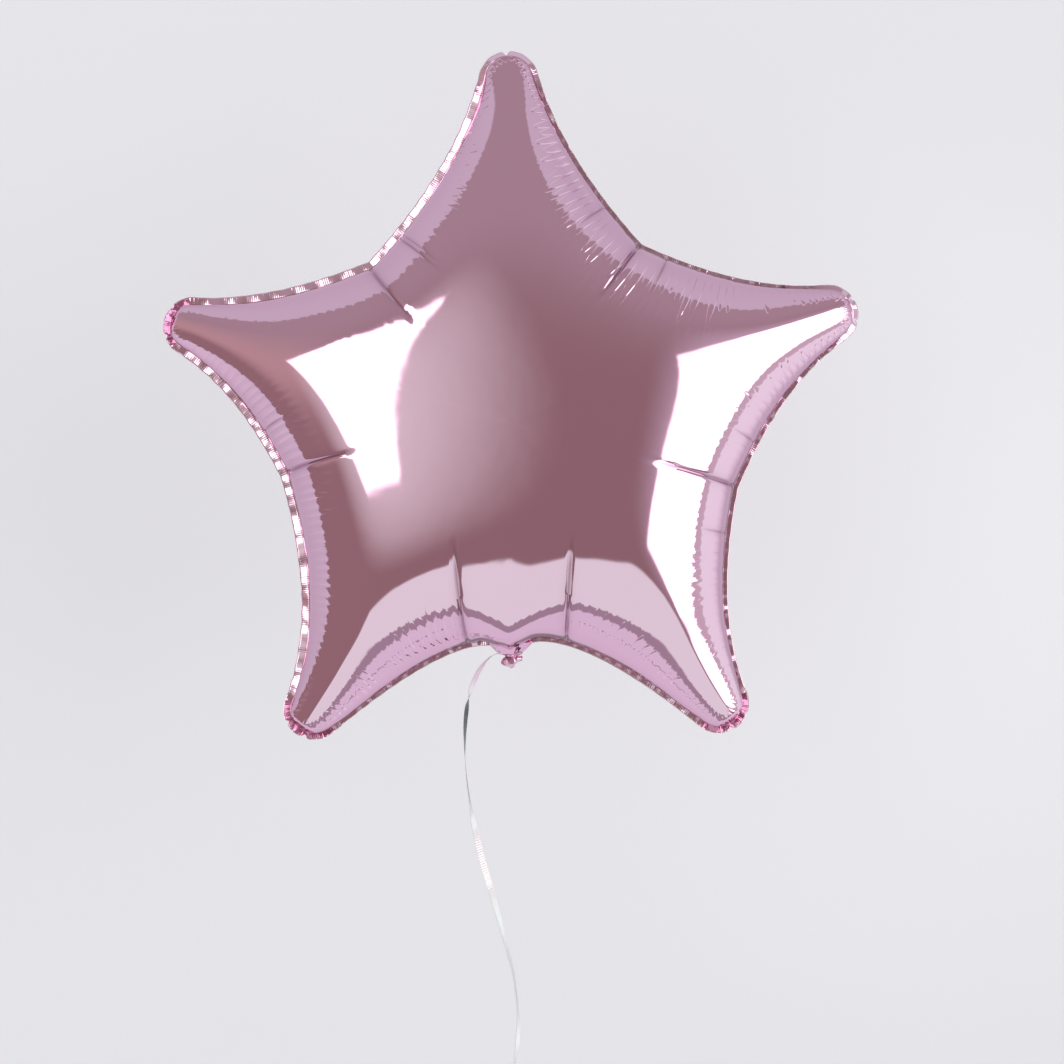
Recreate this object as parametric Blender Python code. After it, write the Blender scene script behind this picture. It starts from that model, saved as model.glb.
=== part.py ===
"""A star-shaped foil balloon: two film panels, a self-sealing valve, and a ribbon tied to its neck.

Metres, +Z up. The star lies in the XZ plane and its front faces -Y. The origin is the middle of the
tie round the neck. The films and the ribbon are thicker here than the real ones, so that each is a
sound solid.
"""

from math import atan2, cos, exp, pi, radians, sin, tau

import bpy
import numpy as np
from mathutils import Matrix, Vector

# Outline of the star at the rim of its seal, as (x, z): each arm's tip, and the notch that follows it
TIPS = ((-0.0013, 0.3962), (-0.2258, 0.2205), (-0.1400, -0.0515), (0.1483, -0.0470), (0.2274, 0.2297))
NOTCHES = ((-0.0924, 0.2578), (-0.1505, 0.1170), (0.0, 0.0026), (0.1495, 0.1091), (0.0862, 0.2690))
NECK_NOTCH = 2
CENTRE = (0.0033, 0.1480)
TIP_RADIUS = 0.0198
TIP_TURN = radians(75.4)  # from an arm's middle line to where its round tip ends
SIDE_BOW = 0.43  # how far the tip's direction carries along a side, as a share of the side
NECK_SIDE_BOW = 0.88
SIDE_STEPS = 7
TIP_STEPS = 5
SHARP_ANGLE = radians(40)  # edges that turn further than this stay sharp

# Film
FILM = 0.0005
FILM_GAP = 0.0003
SEAL_WIDTH = 0.0055
FULLEST = 0.100  # half of the thickness that a very wide film would tend to
FULLNESS = 2.5  # how sharply the dome levels out towards that
RINGS = (0.30, 0.56, 0.76, 0.89, 0.965, 0.992, 1.0)  # shares of the way from the middle to the seal
FIELD_OFFSET = 0.014  # how far outside the seal the height's field sources stand

# Neck and tail below it, as (radius, z)
TAIL_PROFILE = (
    (0.0012, -0.0098), (0.0038, -0.0080), (0.0048, -0.0052), (0.0030, -0.0026),
    (0.0030, 0.0026), (0.0034, 0.0060), (0.0030, 0.0095),
)
TAIL_STEPS = 14

# Valve: two films that lie against each other between the panels
VALVE_WIDTH = 0.034
VALVE_MOUTH = 0.012
VALVE_FOOT = 0.0150
VALVE_TAPER = 0.020
VALVE_LENGTH = 0.115
VALVE_FILM = 0.0003

# Ribbon
RIBBON_WIDTH = 0.005
WRAP_INNER = 0.0034
WRAP_OUTER = 0.0045
WRAP_HEIGHT = 0.0040
WRAP_STEPS = 28
WRAP_SECTION_STEPS = 8
KNOT = (0.0, 0.0072, 0.0)
KNOT_RADIUS = 0.0022
KNOT_STEPS = 16
KNOT_ROWS = 8
CONTACT_GAP = 0.0003
# Cut end: it follows the wrap over an arc at the front, then runs straight on
SHORT_END_FROM = radians(-70)
SHORT_END_TO = radians(-20)
SHORT_END_STEPS = 6
SHORT_END_STRAIGHT = 0.004
SHORT_END_THICKNESS = 0.0005
SHORT_END_HEIGHT = 0.0038
ROUTE = (
    (-0.0026, 0.0072, 0.0002), (-0.0062, 0.0072, 0.0006), (-0.0100, 0.0070, 0.0002),
    (-0.0142, 0.0066, -0.0026), (-0.0178, 0.0062, -0.0068), (-0.0212, 0.0058, -0.0122),
    (-0.0240, 0.0052, -0.0185), (-0.0262, 0.0046, -0.0250), (-0.0280, 0.0038, -0.0330),
    (-0.0291, 0.0030, -0.0430), (-0.0296, 0.0022, -0.0550), (-0.0294, 0.0016, -0.0688),
    (-0.0275, 0.0014, -0.0884), (-0.0236, 0.0020, -0.1114), (-0.0183, 0.0034, -0.1343),
    (-0.0124, 0.0056, -0.1552), (-0.0072, 0.0078, -0.1736), (-0.0020, 0.0100, -0.1932),
    (0.0020, 0.0114, -0.2096), (0.0042, 0.0120, -0.2260), (0.0053, 0.0118, -0.2400),
    (0.0050, 0.0108, -0.2540), (0.0034, 0.0092, -0.2660), (0.0028, 0.0078, -0.2760),
    (0.0030, 0.0072, -0.2840),
)
ROUTE_STEP = 0.012

# Hank: the rest of the ribbon, wound into nested oval turns that a tie draws in at the middle
HANK_X = 0.0030
HANK_TOP = -0.3000
HANK_LOBE = 0.0250  # radius of its round ends
HANK_STRAIGHT = 0.0300  # half of the length between its round ends' centres
HANK_PINCH = 0.72
HANK_PINCH_REACH = 0.0090
HANK_DEPTH = 0.0062
HANK_STEPS = 14
SPOUT_SPREAD = 0.25  # lowers the spout's foot on the lobe, as a share of the lobe's radius
TIE_HEIGHT = 0.0050
TIE_WALL = 0.0010
TIE_CLEAR = 0.0014
TIE_CORNER = 0.0030
TIE_CORNER_STEPS = 5

FRONT, BACK = -1, 1


def clear_scene():
    for obj in list(bpy.data.objects):
        bpy.data.objects.remove(obj, do_unlink=True)


def material(name, color, roughness, metallic):
    made = bpy.data.materials.new(name)
    made.use_nodes = True
    shader = made.node_tree.nodes["Principled BSDF"]
    shader.inputs["Base Color"].default_value = (*color, 1.0)
    shader.inputs["Roughness"].default_value = roughness
    shader.inputs["Metallic"].default_value = metallic
    return made


def mesh_object(name, points, faces, surface=None):
    mesh = bpy.data.meshes.new(name)
    mesh.from_pydata([tuple(map(float, p)) for p in points], [], faces)
    mesh.validate()
    obj = bpy.data.objects.new(name, mesh)
    bpy.context.scene.collection.objects.link(obj)
    if surface:
        mesh.materials.append(surface)
    mesh.shade_smooth()
    mesh.set_sharp_from_angle(angle=SHARP_ANGLE)
    return obj


def ring_faces(rows, count, wrap=True):
    """Quads between consecutive rows of count points, closed round each row where wrap is set."""
    return [
        (r * count + i, r * count + (i + 1) % count, (r + 1) * count + (i + 1) % count, (r + 1) * count + i)
        for r in range(rows - 1)
        for i in range(count if wrap else count - 1)
    ]


def star_side(tip, sign, notch, bow, steps):
    """Points from where a round tip ends to the notch beside it, on one bowed curve."""
    tip, notch = np.array(tip), np.array(notch)
    outwards = tip - np.array(CENTRE)
    middle = tip - outwards / np.linalg.norm(outwards) * TIP_RADIUS
    angle = atan2(outwards[1], outwards[0]) + sign * TIP_TURN
    start = middle + TIP_RADIUS * np.array((cos(angle), sin(angle)))
    along = sign * np.array((-sin(angle), cos(angle)))
    handle = start + along * bow * np.linalg.norm(notch - start)
    return [
        (1 - t) ** 2 * start + 2 * t * (1 - t) * handle + t * t * notch
        for t in np.linspace(0, 1, steps + 1)
    ]


def star_tip(tip, steps):
    """Points of the round tip strictly between its two sides, anticlockwise."""
    tip = np.array(tip)
    outwards = tip - np.array(CENTRE)
    middle = tip - outwards / np.linalg.norm(outwards) * TIP_RADIUS
    angle = atan2(outwards[1], outwards[0])
    turns = np.linspace(angle - TIP_TURN, angle + TIP_TURN, steps + 1)[1:-1]
    return [middle + TIP_RADIUS * np.array((cos(a), sin(a))) for a in turns]


def star_outline(side_steps, tip_steps):
    """The rim of the seal, anticlockwise from the notch before the first tip."""
    points = []
    for i, tip in enumerate(TIPS):
        before, after = (i - 1) % len(NOTCHES), i
        bow_in = NECK_SIDE_BOW if before == NECK_NOTCH else SIDE_BOW
        bow_out = NECK_SIDE_BOW if after == NECK_NOTCH else SIDE_BOW
        points += star_side(tip, -1, NOTCHES[before], bow_in, side_steps)[::-1]
        points += star_tip(tip, tip_steps)
        points += star_side(tip, 1, NOTCHES[after], bow_out, side_steps)[:-1]
    return np.array(points)


def inward_normals(outline):
    tangent = np.roll(outline, -1, axis=0) - np.roll(outline, 1, axis=0)
    normal = np.column_stack((-tangent[:, 1], tangent[:, 0]))
    return normal / np.linalg.norm(normal, axis=1)[:, None]


def dome_height(seal):
    """The height of the inflated film over (x, z) points inside the seal.

    A film under pressure bulges like a soap film: its height field has a constant curvature sum and is
    nil at the seal. Point sources outside the seal are weighted so that the field vanishes on it. The
    root of the field gives round arms, and a soft limit gives the dome its level middle.
    """
    sources = seal - inward_normals(seal) * FIELD_OFFSET

    def terms(points):
        apart = np.linalg.norm(points[:, None, :] - sources[None, :, :], axis=2)
        return np.column_stack((np.log(apart), np.ones(len(points))))

    def load(points):
        return -((points - np.array(CENTRE)) ** 2).sum(axis=1) / 2

    weights = np.linalg.lstsq(terms(seal), -load(seal), rcond=1e-9)[0]

    def height(points):
        raised = np.sqrt(np.maximum(load(points) + terms(points) @ weights, 0))
        return raised / (1 + (raised / FULLEST) ** FULLNESS) ** (1 / FULLNESS)

    return height


def add_panel(name, side, surface):
    """One film: a dome with a flat seal border, joined to its half of the gathered neck and tail."""
    outline = star_outline(SIDE_STEPS, TIP_STEPS)
    seal = outline + inward_normals(outline) * SEAL_WIDTH
    height = dome_height(seal)
    centre = np.array(CENTRE)
    level = FILM_GAP / 2 + FILM
    rows = []
    for share in RINGS:
        ring = centre + share * (seal - centre)
        raised = height(ring) if share < 1 else np.zeros(len(ring))
        rows.append([(x, side * (level + h), z) for (x, z), h in zip(ring, raised)])
    rows.append([(x, side * level, z) for x, z in outline])
    points = [(centre[0], side * (level + height(centre[None, :])[0]), centre[1])]
    points += [point for row in rows for point in row]
    count = len(outline)
    faces = [(0, 1 + i, 1 + (i + 1) % count) for i in range(count)]
    faces += [tuple(i + 1 for i in face[::-1]) for face in ring_faces(len(rows), count)]
    if side == BACK:
        faces = [face[::-1] for face in faces]
    panel = mesh_object(name, points, faces, surface)
    wall = panel.modifiers.new("film", "SOLIDIFY")
    wall.thickness = FILM
    wall.offset = -1
    wall.use_even_offset = True
    tail = half_spindle(name + "_tail", side)
    tail.hide_render = True
    tail.display_type = "WIRE"
    join = panel.modifiers.new("tail", "BOOLEAN")
    join.operation = "UNION"
    join.object = tail
    return panel


def half_spindle(name, side):
    """Half of the bunched neck and tail, turned about Z and cut flat beside the middle plane."""
    angles = np.linspace(pi, tau, TAIL_STEPS + 1)
    flat = FILM_GAP / 2
    points = [
        (r * cos(a), side * (flat - r * sin(a)), z) for r, z in TAIL_PROFILE for a in angles
    ]
    count = len(angles)
    rows = len(TAIL_PROFILE)
    faces = ring_faces(rows, count, wrap=False)
    faces += [(r * count + count - 1, r * count, (r + 1) * count, (r + 1) * count + count - 1)
              for r in range(rows - 1)]
    faces.append(tuple(range(count))[::-1])
    faces.append(tuple(range((rows - 1) * count, rows * count)))
    if side == BACK:
        faces = [face[::-1] for face in faces]
    return mesh_object(name, points, faces)


def extruded(name, loops, low, high, surface):
    """An (x, z) outline, with an optional hole of as many points, given depth from y low to y high."""
    count = len(loops[0])
    points = [(x, y, z) for loop in loops for y in (low, high) for x, z in loop]
    if len(loops) == 1:
        rows = ring_faces(2, count)
        faces = [face[::-1] for face in rows]
        faces += [tuple(range(count)), tuple(range(count, 2 * count))[::-1]]
        return mesh_object(name, points, faces, surface)
    faces = []
    for i in range(count):
        j = (i + 1) % count
        outer_low, outer_high = (i, j), (count + i, count + j)
        inner_low, inner_high = (2 * count + i, 2 * count + j), (3 * count + i, 3 * count + j)
        faces.append((outer_low[0], outer_high[0], outer_high[1], outer_low[1]))
        faces.append((inner_low[0], inner_low[1], inner_high[1], inner_high[0]))
        faces.append((outer_low[0], outer_low[1], inner_low[1], inner_low[0]))
        faces.append((outer_high[1], outer_high[0], inner_high[0], inner_high[1]))
    return mesh_object(name, points, faces, surface)


def add_valve_film(name, side, surface):
    half = VALVE_WIDTH / 2
    top = VALVE_FOOT + VALVE_LENGTH
    outline = [
        (-VALVE_MOUTH / 2, VALVE_FOOT), (VALVE_MOUTH / 2, VALVE_FOOT),
        (half, VALVE_FOOT + VALVE_TAPER), (half, top), (-half, top), (-half, VALVE_FOOT + VALVE_TAPER),
    ]
    near = FILM_GAP / 2
    low, high = sorted((side * near, side * (near + VALVE_FILM)))
    return extruded(name, [outline], low, high, surface)


def add_wrap(surface):
    """The turns of ribbon drawn tight round the neck, as one ring."""
    steps, round_steps = WRAP_STEPS, WRAP_SECTION_STEPS
    mean, wall = (WRAP_INNER + WRAP_OUTER) / 2, (WRAP_OUTER - WRAP_INNER) / 2
    points = []
    for a in np.arange(steps) * tau / steps:
        for b in np.arange(round_steps) * tau / round_steps:
            radius = mean + wall * cos(b)
            points.append((radius * cos(a), radius * sin(a), WRAP_HEIGHT / 2 * sin(b)))
    faces = [
        (a * round_steps + b, (a + 1) % steps * round_steps + b,
         (a + 1) % steps * round_steps + (b + 1) % round_steps, a * round_steps + (b + 1) % round_steps)
        for a in range(steps)
        for b in range(round_steps)
    ]
    return mesh_object("ribbon_wrap", points, faces, surface)


def add_short_end(surface):
    """The cut end of the ribbon, a short curved tab in front of the neck."""
    inner = WRAP_OUTER + CONTACT_GAP
    outer = inner + SHORT_END_THICKNESS
    angles = np.linspace(SHORT_END_FROM, SHORT_END_TO, SHORT_END_STEPS + 1)
    arc = [(outer * cos(a), outer * sin(a)) for a in angles]
    onward = SHORT_END_TO + pi / 2
    reach = np.array((cos(onward), sin(onward))) * SHORT_END_STRAIGHT
    arc.append((arc[-1][0] + reach[0], arc[-1][1] + reach[1]))
    back = [(inner * cos(a), inner * sin(a)) for a in angles]
    back.append((back[-1][0] + reach[0], back[-1][1] + reach[1]))
    loop = arc + back[::-1]
    count = len(loop)
    points = [(x, y, z) for z in (-SHORT_END_HEIGHT / 2, SHORT_END_HEIGHT / 2) for x, y in loop]
    faces = ring_faces(2, count) + [tuple(range(count))[::-1], tuple(range(count, 2 * count))]
    return mesh_object("ribbon_short_end", points, faces, surface)


def add_knot(surface):
    """The knot, a small ball on the joints' shared centre behind the neck."""
    steps, rows = KNOT_STEPS, KNOT_ROWS
    points = [(0, 0, -KNOT_RADIUS)]
    for r in range(1, rows):
        tilt = -pi / 2 + pi * r / rows
        points += [
            (KNOT_RADIUS * cos(tilt) * cos(a), KNOT_RADIUS * cos(tilt) * sin(a), KNOT_RADIUS * sin(tilt))
            for a in np.arange(steps) * tau / steps
        ]
    points.append((0, 0, KNOT_RADIUS))
    last = len(points) - 1
    faces = [tuple(i + 1 for i in face) for face in ring_faces(rows - 1, steps)]
    faces += [(0, 1 + (i + 1) % steps, 1 + i) for i in range(steps)]
    faces += [(last, last - steps + i, last - steps + (i + 1) % steps) for i in range(steps)]
    knot = mesh_object("ribbon_knot", points, faces, surface)
    knot.location = KNOT
    return knot


def smooth_route(points, step):
    """Points about step apart along the smooth curve through the given ones."""
    given = [Vector(p) for p in points]
    given = [2 * given[0] - given[1], *given, 2 * given[-1] - given[-2]]
    fine = []
    for a, b, c, d in zip(given, given[1:], given[2:], given[3:]):
        for t in np.arange(16) / 16:
            fine.append(0.5 * (2 * b + (c - a) * t + (2 * a - 5 * b + 4 * c - d) * t**2
                               + (3 * b - a - 3 * c + d) * t**3))
    fine.append(given[-2])
    along = np.concatenate(([0], np.cumsum([(q - p).length for p, q in zip(fine, fine[1:])])))
    wanted = np.linspace(0, along[-1], max(2, round(along[-1] / step) + 1))
    return np.column_stack([np.interp(wanted, along, [p[k] for p in fine]) for k in range(3)])


def add_ribbon(surface):
    """The hanging stretch as a plain tube of the ribbon's width, with its origin at the knot."""
    curve = bpy.data.curves.new("ribbon", "CURVE")
    curve.dimensions = "3D"
    curve.bevel_depth = RIBBON_WIDTH / 2
    curve.bevel_resolution = 2
    curve.use_fill_caps = True
    route = smooth_route(ROUTE, ROUTE_STEP) - np.array(KNOT)
    spline = curve.splines.new("POLY")
    spline.points.add(len(route) - 1)
    for point, place in zip(spline.points, route):
        point.co = (*place, 1)
    curve.materials.append(surface)
    ribbon = bpy.data.objects.new("ribbon", curve)
    ribbon.location = KNOT
    bpy.context.scene.collection.objects.link(ribbon)
    return ribbon


def hank_centre():
    return HANK_TOP - HANK_LOBE - HANK_STRAIGHT


def hank_half_width(rise):
    """Half of the hank's width at a height above its middle, between its round ends' centres."""
    return HANK_LOBE * (1 - HANK_PINCH * exp(-((rise / HANK_PINCH_REACH) ** 2)))


def add_hank(surface):
    """The outer shape of the wound ribbon, with a spout up to where the ribbon enters it."""
    middle = hank_centre()
    entry = ROUTE[-1][2] - CONTACT_GAP
    spout = RIBBON_WIDTH / 2
    lobe_z = middle + HANK_STRAIGHT
    cone = np.arccos(HANK_LOBE / (entry - lobe_z + HANK_LOBE * SPOUT_SPREAD))
    right = [(spout, entry)]
    right += [(HANK_LOBE * sin(a), lobe_z + HANK_LOBE * cos(a))
              for a in np.linspace(cone, pi / 2, HANK_STEPS)]
    right += [(hank_half_width(z), middle + z)
              for z in np.linspace(HANK_STRAIGHT, -HANK_STRAIGHT, 2 * HANK_STEPS + 1)[1:-1]]
    right += [(HANK_LOBE * cos(a), middle - HANK_STRAIGHT - HANK_LOBE * sin(a))
              for a in np.linspace(0, pi / 2, HANK_STEPS)]
    outline = [(HANK_X + x, z) for x, z in right]
    outline += [(HANK_X - x, z) for x, z in right[-2::-1]]
    low = KNOT[1] - HANK_DEPTH / 2
    return extruded("ribbon_hank", [outline[::-1]], low, low + HANK_DEPTH, surface)


def add_hank_tie(surface):
    """A band round the hank's waist."""
    half_x = hank_half_width(TIE_HEIGHT / 2) + TIE_CLEAR
    half_y = HANK_DEPTH / 2 + TIE_CLEAR

    def loop(grown):
        wide, deep, bend = half_x + grown, half_y + grown, TIE_CORNER + grown
        points = []
        for quarter, (sx, sy) in enumerate(((1, 1), (-1, 1), (-1, -1), (1, -1))):
            for a in np.linspace(0, pi / 2, TIE_CORNER_STEPS) + quarter * pi / 2:
                points.append((sx * (wide - bend) + bend * cos(a), sy * (deep - bend) + bend * sin(a)))
        return points

    band = extruded("hank_tie", [loop(TIE_WALL), loop(0)], -TIE_HEIGHT / 2, TIE_HEIGHT / 2, surface)
    band.data.transform(Matrix.Rotation(pi / 2, 4, "X"))
    band.location = (HANK_X, KNOT[1], hank_centre())
    return band


def main():
    clear_scene()
    foil = material("foil", (0.80, 0.50, 0.62), 0.12, 1.0)
    valve = material("valve_film", (0.85, 0.86, 0.88), 0.35, 0.0)
    silver = material("ribbon", (0.75, 0.75, 0.78), 0.2, 0.9)
    tie = material("tie", (0.82, 0.62, 0.70), 0.35, 0.0)
    add_panel("front_panel", FRONT, foil)
    add_panel("back_panel", BACK, foil)
    add_valve_film("valve_front_film", FRONT, valve)
    add_valve_film("valve_back_film", BACK, valve)
    add_wrap(silver)
    add_short_end(silver)
    knot = add_knot(silver)
    pieces = [add_ribbon(silver), add_hank(silver), add_hank_tie(tie)]
    pivot = bpy.data.objects.new("ribbon_pivot", None)
    pivot.location = knot.location
    bpy.context.scene.collection.objects.link(pivot)
    for piece in pieces:
        piece.parent = pivot
        piece.matrix_parent_inverse = Matrix.Translation(-Vector(KNOT))


main()
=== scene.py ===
"""Looks for the star foil balloon: inflated metallised film, its crimped seal, the tied neck and the ribbon.

Metres, +Z up, front towards -Y. The outline, the dome and the ribbon's route repeat the CAD model's
dimensions, and the seal, the seam and the folds grow from the outline.
"""

from math import atan2, cos, exp, pi, radians, sin, tau

import bmesh
import bpy
import numpy as np
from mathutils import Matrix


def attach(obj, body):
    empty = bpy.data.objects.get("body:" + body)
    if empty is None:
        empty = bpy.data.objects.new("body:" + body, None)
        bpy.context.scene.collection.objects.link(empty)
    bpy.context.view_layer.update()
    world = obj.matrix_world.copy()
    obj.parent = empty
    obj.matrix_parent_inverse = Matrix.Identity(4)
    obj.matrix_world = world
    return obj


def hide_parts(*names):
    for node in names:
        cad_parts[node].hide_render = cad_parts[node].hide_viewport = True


# Outline of the star at the rim of its seal, as (x, z): each arm's tip, and the notch that follows it
TIPS = ((-0.0013, 0.3962), (-0.2258, 0.2205), (-0.1400, -0.0515), (0.1483, -0.0470), (0.2274, 0.2297))
NOTCHES = ((-0.0924, 0.2578), (-0.1505, 0.1170), (0.0, 0.0026), (0.1495, 0.1091), (0.0862, 0.2690))
NECK_NOTCH = 2
CENTRE = np.array((0.0033, 0.1480))
TIP_RADIUS = 0.0198
TIP_TURN = radians(75.4)
SIDE_BOW = 0.43
NECK_SIDE_BOW = 0.88
SEAL_WIDTH = 0.0055
FILM_LEVEL = 0.00012  # each film's distance from the middle plane at the seam
FULLEST = 0.100
FULLNESS = 2.5
FIELD_OFFSET = 0.014
FIELD_STRIDE = 12  # seam columns from one field source to the next

# Film mesh: columns run from the seam to each arm's middle line, rows run along the seam
HALF_COLUMNS = 448  # columns in half an arm
COLUMNS = 2 * HALF_COLUMNS * len(TIPS)
ROWS = 44
ROW_CROWDING = 1.65  # draws the rows towards the seam
COLUMN_SWEEP = 1.9  # how late the columns' inner ends pass from the tip to the star's centre
SQUARE_REACH = 0.030  # how far the columns leave the seam square to it
HALF_FROM, QUARTER_FROM = 8, 27  # rows from which each second, then each fourth, column goes on
CORNER_SPREAD = 3  # columns over which the notches' corners are rounded
HANDLE_SPREAD = 22  # columns over which the columns' first directions even out

# Ribbon
RIBBON_WIDTH = 0.005
RIBBON_LENGTH = 1.5
RIBBON_THICKNESS = 0.00016
RIBBON_STEP = 0.0004
RIB_PITCH = 0.0016
RIB_HEIGHT = 0.00007
KNOT = (0.0, 0.0072, 0.0)
ROUTE = (
    (-0.0026, 0.0072, 0.0002), (-0.0062, 0.0072, 0.0006), (-0.0100, 0.0070, 0.0002),
    (-0.0142, 0.0066, -0.0026), (-0.0178, 0.0062, -0.0068), (-0.0212, 0.0058, -0.0122),
    (-0.0240, 0.0052, -0.0185), (-0.0262, 0.0046, -0.0250), (-0.0280, 0.0038, -0.0330),
    (-0.0291, 0.0030, -0.0430), (-0.0296, 0.0022, -0.0550), (-0.0294, 0.0016, -0.0688),
    (-0.0275, 0.0014, -0.0884), (-0.0236, 0.0020, -0.1114), (-0.0183, 0.0034, -0.1343),
    (-0.0124, 0.0056, -0.1552), (-0.0072, 0.0078, -0.1736), (-0.0020, 0.0100, -0.1932),
    (0.0020, 0.0114, -0.2096), (0.0042, 0.0120, -0.2260), (0.0053, 0.0118, -0.2400),
    (0.0050, 0.0108, -0.2540), (0.0034, 0.0092, -0.2660), (0.0028, 0.0078, -0.2760),
    (0.0030, 0.0072, -0.2840),
)
# (height, turn in degrees): 0 lays the ribbon's width across the front, 90 points it at the front
TWIST = (
    (0.0, 90), (-0.006, 112), (-0.012, 128), (-0.022, 130), (-0.027, 116), (-0.030, 64), (-0.036, 54),
    (-0.044, 57), (-0.054, 70), (-0.066, 88), (-0.094, 96), (-0.108, 122), (-0.120, 138), (-0.150, 140),
    (-0.165, 128), (-0.193, 113), (-0.226, 101), (-0.255, 122), (-0.284, 90),
)
HANK_ENTRY = ((0.0058, 0.0072, -0.2925), (0.0118, 0.0072, -0.3000))
HANK_START = radians(42)  # where the first turn begins, clockwise from the hank's top
HANK_X = 0.0030
HANK_TOP = -0.3000
HANK_LOBE = 0.0250
HANK_STRAIGHT = 0.0300
HANK_PINCH = 0.72
HANK_PINCH_REACH = 0.0090
HANK_EDGE = 0.0010  # room between the hank's outer turn and the outside of its CAD solid
TURN_SPACING = 0.0023

FRONT, BACK = -1, 1


def ease(t):
    t = np.clip(t, 0, 1)
    return t * t * (3 - 2 * t)


def unit(v):
    return v / np.linalg.norm(v, axis=-1, keepdims=True)


def lengths_along(points):
    """How far each point lies from the first, along the line through them all."""
    return np.concatenate(([0], np.cumsum(np.linalg.norm(np.diff(points, axis=0), axis=1))))


def round_angles(steps):
    return np.linspace(0, tau, steps, endpoint=False)


# ---- meshes


def mesh_object(name, points, faces, surface, smooth=True):
    mesh = bpy.data.meshes.new(name)
    mesh.from_pydata(np.asarray(points, float).tolist(), [], faces)
    obj = bpy.data.objects.new(name, mesh)
    bpy.context.scene.collection.objects.link(obj)
    mesh.materials.append(surface)
    if smooth:
        mesh.shade_smooth()
    return obj


def loop_faces(rows, count, wrap=True, joined=False, capped=False):
    """Quads between consecutive rows of count points, closed round each row where wrap is set.

    joined carries the last row on to the first, and capped closes both ends.
    """
    first = np.arange(rows - 1)[:, None] * count
    i = np.arange(count if wrap else count - 1)[None, :]
    j = (i + 1) % count
    quads = np.stack((first + i, first + j, first + count + j, first + count + i), axis=2)
    faces = quads.reshape(-1, 4).tolist()
    last = (rows - 1) * count
    if joined:
        faces += [(last + i, last + (i + 1) % count, (i + 1) % count, i) for i in range(count)]
    if capped:
        faces += [list(range(count))[::-1], list(range(last, last + count))]
    return faces


def faces_out(obj):
    """Turns the faces of a closed mesh outwards."""
    shape = bmesh.new()
    shape.from_mesh(obj.data)
    bmesh.ops.recalc_face_normals(shape, faces=shape.faces)
    shape.to_mesh(obj.data)
    shape.free()
    return obj


def give_uv(obj, along_across, loop_length=None):
    """A UV map from one (along, across) pair for each vertex, continued past the end of a closed loop."""
    mesh = obj.data
    layer = mesh.uv_layers.new(name="seam")
    corner = np.zeros(len(mesh.loops), np.int32)
    mesh.loops.foreach_get("vertex_index", corner)
    uv = np.asarray(along_across, np.float32)[corner]
    if loop_length:
        starts = np.zeros(len(mesh.polygons), np.int32)
        mesh.polygons.foreach_get("loop_start", starts)
        order = np.argsort(starts)
        far = np.maximum.reduceat(uv[:, 0], starts[order])
        counts = np.diff(np.append(starts[order], len(corner)))
        uv[:, 0] += loop_length * (np.repeat(far, counts) - uv[:, 0] > loop_length / 2)
    layer.data.foreach_set("uv", uv.ravel())


def give_values(obj, name, values):
    """A named value for each vertex."""
    obj.data.attributes.new(name, "FLOAT", "POINT").data.foreach_set("value", np.asarray(values, np.float32))


# ---- materials

FOIL_TINT, SEAL_TINT = (0.80, 0.48, 0.64), (0.86, 0.55, 0.70)
TIE_TINT, VALVE_TINT = (0.82, 0.52, 0.66), (0.85, 0.86, 0.88)
# Metallised film. Noises are (scale, detail) and spans are (from, to).
HAZE, HAZE_SPREAD = (38.0, 4.0), (0.7, 1.5)  # the roughness's noise, and its range over the roughness
PATCHES, PATCH_SHADE = (9.0, 2.0), 0.955
WAVES, WAVE_STRENGTH, WAVE_HEIGHT = (55.0, 1.0), 0.10, 0.0006
SHADE_DARKENS, SHADE_DEEPENS = 0.45, 1.5  # the painted shade's tint, in creases, at the seam, beside the neck and on the seal: this share of this power of the tint
EDGE_TINT = (0.89, 0.73, 0.82)  # of the film seen nearly edge on
FOLD_EDGE_HEIGHT = 0.00022
FOLD_EDGE_POWER = 0.6  # how squarely a fold stands up from its edge
LEAST_FOLD_REACH, LEAST_FOLD_HEIGHT = 0.55, 0.4  # shares of the greatest
GROOVE_HEIGHT = 0.00022  # of the groove just inside each fold's edge
GROOVE_PLACE, GROOVE_WIDTH = 0.10, 0.16
GROOVED_WAY, GROOVED_SPAN = (0.57, 0.82), (0.195, 0.245)  # grooves show only towards the top right notch
RIB_EDGE_HEIGHT = 0.00004
RIB_REACH = 1.25  # reach of the faint ribs over that of the folds
CRINKLES_PER_FOLD = 2.3
CRINKLES_PER_REACH = 2.2
CRINKLE_HEIGHT = 0.00028
CRINKLE_DETAIL = 1.5
CRINKLE_SPAN = (1.2, 0.4)
RELIEF_SPAN = (0.04, 0.26)  # depth over the folds' reach in which all of this comes in from the seam
CRIMP_PITCH = 0.00135
CRIMP_HEIGHT = 0.000012
# Ribbon film
WEAR, WEAR_ROUGHNESS = (260.0, 4.0), (0.10, 0.30)
BRIGHT_SIDE = ((0.95, 0.84, 0.87), (0.86, 0.76, 0.79))
# The other side is much darker: a painted dark reflection
PAINTED_DARK_SIDE = ((0.26, 0.26, 0.27), (0.08, 0.08, 0.09))
PAINTED_DARK_SIDE_FROM = 1.5  # in the UV map's second direction
PINK_REFLECTION = (0.74, 0.47, 0.60)  # painted reflection of the pink foil on the ribbon beside it
PINK_REFLECTION_SPAN = (0.045, 0.027)
FINE_RIB_PITCH, FINE_RIB_STRENGTH, FINE_RIB_HEIGHT = 0.0008, 0.6, 0.00008
# Plain film
STREAKS, STREAK_SHADE, STREAK_SPREAD = (180.0, 5.0), 0.86, (0.7, 1.3)
STREAK_STRENGTH, STREAK_HEIGHT = 0.3, 0.0001


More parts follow.
